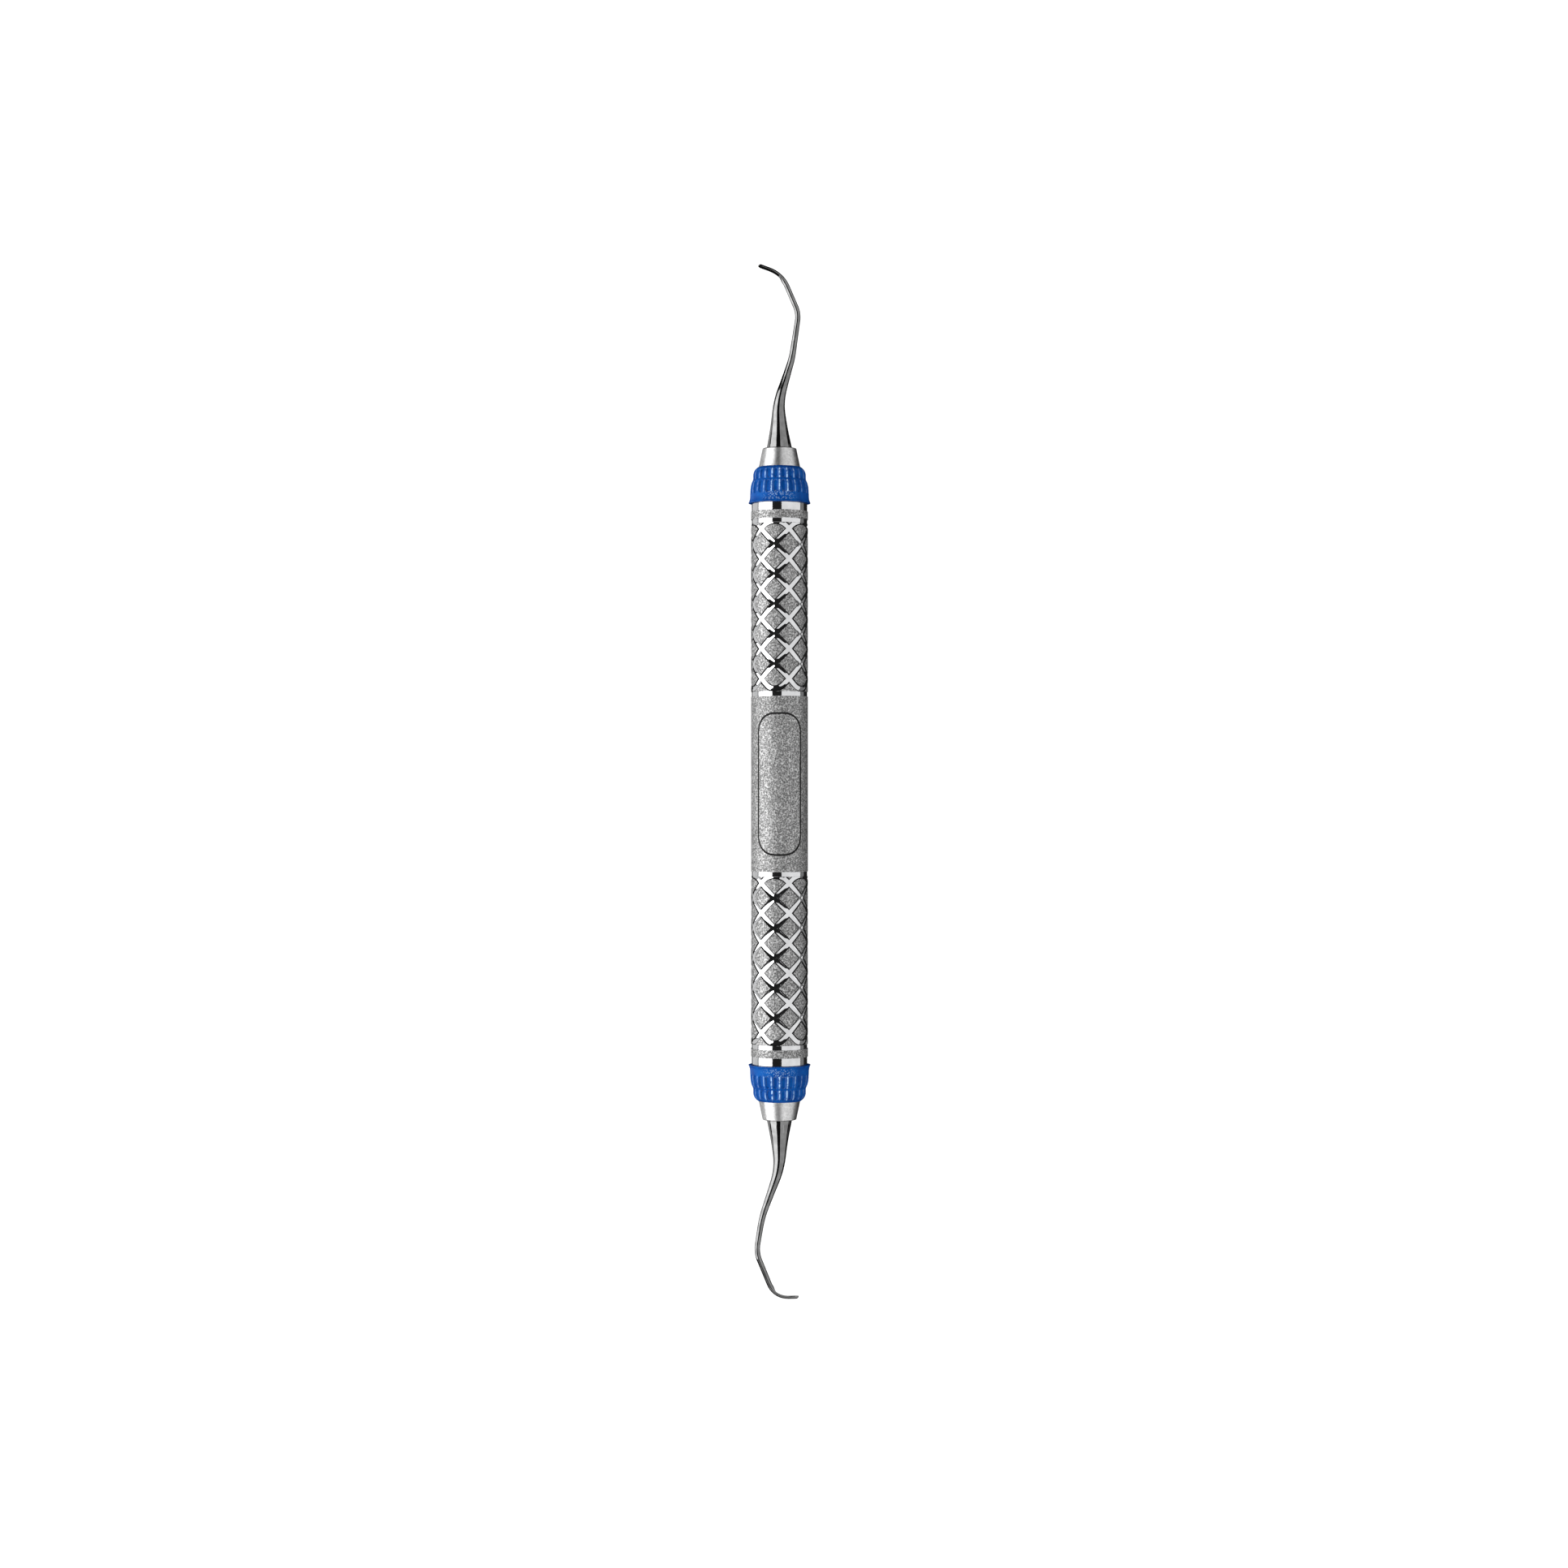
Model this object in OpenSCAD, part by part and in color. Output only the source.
// Double-ended hand scaler: a hollow steel handle with a diamond grip pattern, a turned cone
// pressed into each end, a moulded colour ring on each cone and a curved working end in each
// cone. The handle lies along X with its centre at the origin. +X is the upper end.

/* [Handle] */
// Outer diameter of the handle tube
handle_d = 9.5; // [8:0.1:11]
// Wall thickness of the handle tube
handle_wall = 0.6; // [0.5:0.05:0.8]
// Length of the handle tube
handle_len = 95.8; // [92:0.2:100]
// Length of the plain band at the middle of the handle
middle_band_len = 29.2; // [24:0.2:32]

/* [Diamond pattern] */
// Number of diamond columns around the handle
columns = 12; // [8:2:16]
// Width of the polished grooves between the diamonds
groove_w = 1; // [0.6:0.05:1.3]
// Depth of the polished grooves and bands
groove_depth = 0.12; // [0.05:0.01:0.2]
// Place along X where the grooves first cross in the upper pattern
upper_cross_x = 42.35; // [42:0.05:43]
// Place along X where the grooves first cross in the lower pattern
lower_cross_x = -16.45; // [-17:0.05:-16]

/* [End cones] */
// Distance from the handle's centre to the mouth of an end cone
cone_mouth_x = 56.1; // [55:0.1:58]
// Diameter of an end cone at its mouth
cone_mouth_d = 5.7; // [5:0.1:6]
// Diameter of an end cone where it comes out of the colour ring
cone_base_d = 7.04; // [6.6:0.02:7.2]
// Length of the spigot that is pressed into the handle tube
spigot_len = 8; // [5:0.5:12]

/* [Colour rings] */
// Largest diameter of a colour ring, at its lip
ring_lip_d = 10.34; // [10:0.02:11]
// Diameter of the wide, rear step of a colour ring
ring_rear_d = 9.8; // [9.6:0.02:10]
// Diameter of the narrow, front step of a colour ring
ring_front_d = 8.84; // [8.4:0.02:9]
// Number of flutes around each step
flutes = 22; // [16:1:28]
// Depth of the flutes
flute_depth = 0.2; // [0.1:0.02:0.3]

/* [Working ends] */
// Diameter of the shank where it leaves the end cone
shank_base_d = 4.24; // [3.6:0.04:4.6]
// Diameter of the slender end of the shank
shank_end_d = 0.86; // [0.8:0.02:1.2]
// Length over which the shank tapers most
shank_taper_len = 6.6; // [5:0.1:8]
// Diameter of the tang that is pressed into the end cone
tang_d = 2.5; // [2:0.1:3]
// Length of the blade, from the heel of its face to its toe
blade_len = 5.2; // [4:0.1:6]
// Angle by which the blade's face is turned from square to the shank
face_offset = 20; // [0:5:30]

/* [Hidden] */
steel = "silver";
bright_steel = "gainsboro";
silicone_blue = "royalblue";

handle_r = handle_d / 2;
bore_r = handle_r - handle_wall;
floor_r = handle_r - groove_depth;
tube_end_x = handle_len / 2;
edge_break = 0.15;
cut = 0.01;

// The bands from the middle of the handle outwards, by the place of each border along X.
middle_x = middle_band_len / 2;
pattern_start_x = middle_x + 0.8;
pattern_end_x = 43.4;
outer_matte_start_x = 44.15;
outer_matte_end_x = 45.5;

// The grooves run at 45 degrees, so the diamonds repeat over the same distance along X as
// around the handle. The half diagonals are along X and around.
column_step = 360 / columns;
column_arc = 2 * PI * handle_r / columns;
diamond_pitch = 2 * column_arc;
half_pitch = diamond_pitch / 2;
pad_half = half_pitch - groove_w / sqrt(2);
pad_root_r = bore_r + 0.2;
// Where the first column stands around the handle, turned from +Z towards -Y.
first_column = 20;

// The seat that the colour ring is stretched over, from the tube outwards.
ring_rear_x = tube_end_x - 1;
flange_len = 0.5;
flange_r = 4.45;
rear_seat_r = 4.15;
step_x = 50.6;
front_seat_r = 3.25;
cone_start_x = 52.7;
ring_front_x = 52.95;
cone_base_r = cone_base_d / 2;
cone_mouth_r = cone_mouth_d / 2;
mouth_round = 0.2;
socket_depth = 1.2;
tang_len = 10;
tang_seat_x = cone_mouth_x - socket_depth;
tang_clearance = 0.4;

// The bent wire of each working end: corners as [across, along, towards the viewer], and how
// far each corner's bend reaches along the wire. Across is towards -Y and along is X.
upper_corners = [[0, tang_seat_x, 0], [-0.18, 63.9, 0], [2.1, 71.3, -0.4],
                 [3.2, 78.8, -0.8], [0.4, 85.2, 0], [-3.55, 86.6, 0.3]];
upper_bends = [2.2, 1.2, 1.3, 2.3];
lower_corners = [[0, -tang_seat_x, 0], [0, -64.3, 0], [-2.93, -72.4, 0.4],
                 [-3.87, -78.2, 0.8], [-0.82, -85.75, 0], [3.2, -85.7, -0.3]];
lower_bends = [2.3, 1.8, 1.5, 2.5];
rings_per_line = 6;
rings_per_bend = 8;
section_sides = 20;
taper_power = 1.12;
blade_r = 0.42;
face_height = 0.06;
heel_blend = 1.2;
toe_round = 0.5;
toe_steps = [0, 0.35, 0.65, 0.85, 0.97];

// ---- Helpers ----

function corner_out(c, d, i) = c[i] + d[i - 1] * unit(c[i + 1] - c[i]);
function corner_in(c, d, i) = c[i] + d[i - 1] * unit(c[i - 1] - c[i]);
function unit(v) = v / norm(v);
function mix(a, b, t) = a + (b - a) * t;
function bend_at(a, b, c, t) = mix(mix(a, b, t), mix(b, c, t), t);
function clamp01(t) = min(1, max(0, t));
function smooth(t) = let (s = clamp01(t)) s * s * (3 - 2 * s);

// A wire of straight runs and smooth bends through its corners, as a list of points.
function wire(c, d) =
    let (last = len(c) - 1)
    concat(
        [for (i = [0 : last - 1])
            let (a = i == 0 ? c[0] : corner_out(c, d, i),
                 b = i == last - 1 ? c[last] : corner_in(c, d, i + 1))
            each concat(
                [for (k = [0 : rings_per_line - 1]) mix(a, b, k / rings_per_line)],
                i == last - 1 ? [] :
                [for (k = [0 : rings_per_bend - 1])
                    bend_at(b, c[i + 1], corner_out(c, d, i + 1), k / rings_per_bend)])],
        [c[last]]);

// The distance of each point from the start of the wire.
function run_of(pts) = [for (i = 0, s = 0; i < len(pts);
    s = s + (i + 1 < len(pts) ? norm(pts[i + 1] - pts[i]) : 0), i = i + 1) s];

function tangent(pts, i) = unit(pts[min(i + 1, len(pts) - 1)] - pts[max(i - 1, 0)]);

function shank_r(s) = shank_end_d / 2 + (shank_base_d - shank_end_d) / 2
    * exp(-pow(max(0, s - socket_depth) / shank_taper_len, taper_power));

// One cross-section of the wire. It is round along the shank and a half round with a flat
// face along the blade. The face looks back along the handle, turned by the offset.
function section(p, t, r, flat, turn) =
    let (side = unit(cross([0, 0, 1], t)),
         up = cross(t, side),
         face = side * cos(turn) + up * sin(turn),
         edge = up * cos(turn) - side * sin(turn))
    [for (k = [0 : section_sides - 1])
        let (a = 360 * (k + 0.5) / section_sides)
        p + face * min(r * cos(a), mix(r, face_height, flat)) + edge * (r * sin(a))];

function to_frame(q) = [q[1], -q[0], q[2]];

// ---- Sub-parts ----

// A shape turned about the X axis from its outline, given as [along X, radius].
module turned(outline) {
    rotate([0, 90, 0])
        rotate_extrude($fn = 96)
            polygon([for (q = outline) [q[1], q[0]]]);
}

// Puts the upper end's shapes at the lower end.
module at_end(upper) {
    if (upper) children();
    else rotate([0, 0, 180]) children();
}

module handle_blank() {
    half = [
        [tube_end_x, handle_r - edge_break],
        [tube_end_x - edge_break, handle_r],
        [ring_rear_x, handle_r],
        [ring_rear_x, floor_r],
        [outer_matte_end_x, floor_r],
        [outer_matte_end_x, handle_r],
        [outer_matte_start_x, handle_r],
        [outer_matte_start_x, floor_r],
        [middle_x, floor_r],
        [middle_x, handle_r]];
    left = [for (i = [len(half) - 1 : -1 : 0]) [-half[i][0], half[i][1]]];
    turned(concat([[-tube_end_x, bore_r], [tube_end_x, bore_r]], half, left));
}

module diamond_prism(x, angle) {
    rotate([angle, 0, 0])
        translate([x, 0, pad_root_r])
            linear_extrude(height = handle_r)
                polygon([[pad_half, 0], [0, pad_half], [-pad_half, 0], [0, -pad_half]]);
}

// The raised diamonds of one pattern. The columns alternate by half a pitch.
module diamonds(cross_x, start_x, end_x) {
    rows = floor((end_x - start_x) / diamond_pitch) + 1;
    intersection() {
        translate([start_x, 0, 0])
            rotate([0, 90, 0])
                cylinder(h = end_x - start_x, r = handle_r, $fn = 96);
        union() {
            for (i = [0 : columns - 1], j = [0 : rows])
                diamond_prism(cross_x - half_pitch * (1 - i % 2) - diamond_pitch * j,
                              first_column + column_step * i);
        }
    }
}

module handle_tube() {
    color(steel) union() {
        handle_blank();
        diamonds(upper_cross_x, pattern_start_x, pattern_end_x);
        diamonds(lower_cross_x, -pattern_end_x, -pattern_start_x);
    }
}

module end_cone(upper) {
    spigot_start_x = tube_end_x - spigot_len;
    chamfer = 0.4;
    glue_groove = 0.15;
    round_steps = 4;
    color(bright_steel) at_end(upper) difference() {
        turned(concat(
            [[spigot_start_x, 0], [spigot_start_x, bore_r - chamfer],
             [spigot_start_x + chamfer, bore_r]],
            [for (g = [2, 4, 6], e = [[0, 0], [0, 1], [0.8, 1], [0.8, 0]])
                [spigot_start_x + g + e[0] - chamfer, bore_r - glue_groove * e[1]]],
            [[tube_end_x, bore_r], [tube_end_x, flange_r], [tube_end_x + flange_len, flange_r],
             [tube_end_x + flange_len, rear_seat_r], [step_x, rear_seat_r],
             [step_x, front_seat_r], [cone_start_x, front_seat_r],
             [cone_start_x, cone_base_r]],
            [for (k = [0 : round_steps]) let (a = 90 * k / round_steps)
                [cone_mouth_x - mouth_round * (1 - sin(a)),
                 cone_mouth_r - mouth_round * (1 - cos(a))]],
            [[cone_mouth_x, 0]]));
        translate([tang_seat_x, 0, 0])
            rotate([0, 90, 0])
                cylinder(h = socket_depth + cut, r = shank_base_d / 2, $fn = 96);
        translate([tang_seat_x - tang_len - tang_clearance, 0, 0])
            rotate([0, 90, 0])
                cylinder(h = tang_len + tang_clearance + cut, r = tang_d / 2, $fn = 96);
    }
}

// Radius of the cone's surface at a place along X.
function cone_r(x) = mix(cone_base_r, cone_mouth_r,
                         (x - cone_start_x) / (cone_mouth_x - mouth_round - cone_start_x));

module colour_ring(upper) {
    rear_r = ring_rear_d / 2;
    front_r = ring_front_d / 2;
    lip_r = ring_lip_d / 2;
    shoulder = 1.64;
    shoulder_start = 28;
    arc_steps = 6;
    flute_r = 0.5;
    color(silicone_blue) at_end(upper) difference() {
        turned(concat(
            [[ring_rear_x, handle_r], [tube_end_x - edge_break, handle_r],
             [tube_end_x, handle_r - edge_break], [tube_end_x, flange_r],
             [tube_end_x + flange_len, flange_r], [tube_end_x + flange_len, rear_seat_r],
             [step_x, rear_seat_r], [step_x, front_seat_r], [cone_start_x, front_seat_r],
             [cone_start_x, cone_base_r], [ring_front_x, cone_r(ring_front_x)]],
            [for (k = [0 : arc_steps])
                let (a = mix(shoulder_start, 90, k / arc_steps))
                [ring_front_x - shoulder * (cos(shoulder_start) - cos(a)),
                 front_r - shoulder * (1 - sin(a))]],
            [[step_x + 0.1, front_r], [step_x - 0.15, rear_r - 0.32],
             [step_x - 0.5, rear_r - 0.18], [step_x - 1, rear_r - 0.06],
             [step_x - 1.6, rear_r], [ring_rear_x + 1, rear_r + 0.02],
             [ring_rear_x + 0.5, lip_r - 0.17], [ring_rear_x + 0.15, lip_r],
             [ring_rear_x, lip_r]]));
        for (i = [0 : flutes - 1]) rotate([360 * (i + 0.5) / flutes, 0, 0]) {
            translate([step_x + 0.25, 0, front_r + flute_r - flute_depth])
                rotate([0, 90, 0]) cylinder(h = 1.8, r = flute_r, $fn = 24);
            translate([step_x - 2.1, 0, rear_r + flute_r - flute_depth])
                rotate([0, 94, 0]) cylinder(h = 2.2, r = flute_r, $fn = 24);
        }
    }
}

module working_end(upper) {
    corners = upper ? upper_corners : lower_corners;
    pts = wire(corners, upper ? upper_bends : lower_bends);
    run = run_of(pts);
    total = run[len(run) - 1];
    heel = total - blade_len;
    turn = upper ? face_offset : -face_offset;
    body = [for (i = [0 : len(pts) - 2])
        let (flat = smooth((run[i] - heel) / heel_blend))
        section(pts[i], tangent(pts, i), mix(shank_r(run[i]), blade_r, flat), flat, turn)];
    // The toe: the last sections shrink in a quarter round towards the face.
    t = tangent(pts, len(pts) - 1);
    toe = [for (k = toe_steps)
        section(pts[len(pts) - 1] - t * toe_round * (1 - k), t,
                blade_r * sqrt(1 - k * k * 0.9), 1, turn)];
    kept = [for (i = [0 : len(body) - 1]) if (run[i] < total - toe_round - 0.05) body[i]];
    rings = concat(kept, toe);
    n = section_sides;
    points = [for (r = rings, q = r) to_frame(q)];
    sides = [for (i = [0 : len(rings) - 2], k = [0 : n - 1])
        let (a = i * n + k, b = i * n + (k + 1) % n)
        each [[a, b + n, b], [a, a + n, b + n]]];
    start_cap = [for (k = [0 : n - 1]) k];
    end_cap = [for (k = [n - 1 : -1 : 0]) (len(rings) - 1) * n + k];
    color(bright_steel) union() {
        polyhedron(points = points, faces = concat([start_cap], sides, [end_cap]));
        at_end(upper)
            translate([tang_seat_x - tang_len, 0, 0])
                rotate([0, 90, 0]) cylinder(h = tang_len + 0.5, r = tang_d / 2, $fn = 96);
    }
}

handle_tube();
end_cone(true);  // upper_end_cone
end_cone(false);  // lower_end_cone
colour_ring(true);  // upper_colour_ring
colour_ring(false);  // lower_colour_ring
working_end(true);  // upper_working_end
working_end(false);  // lower_working_end
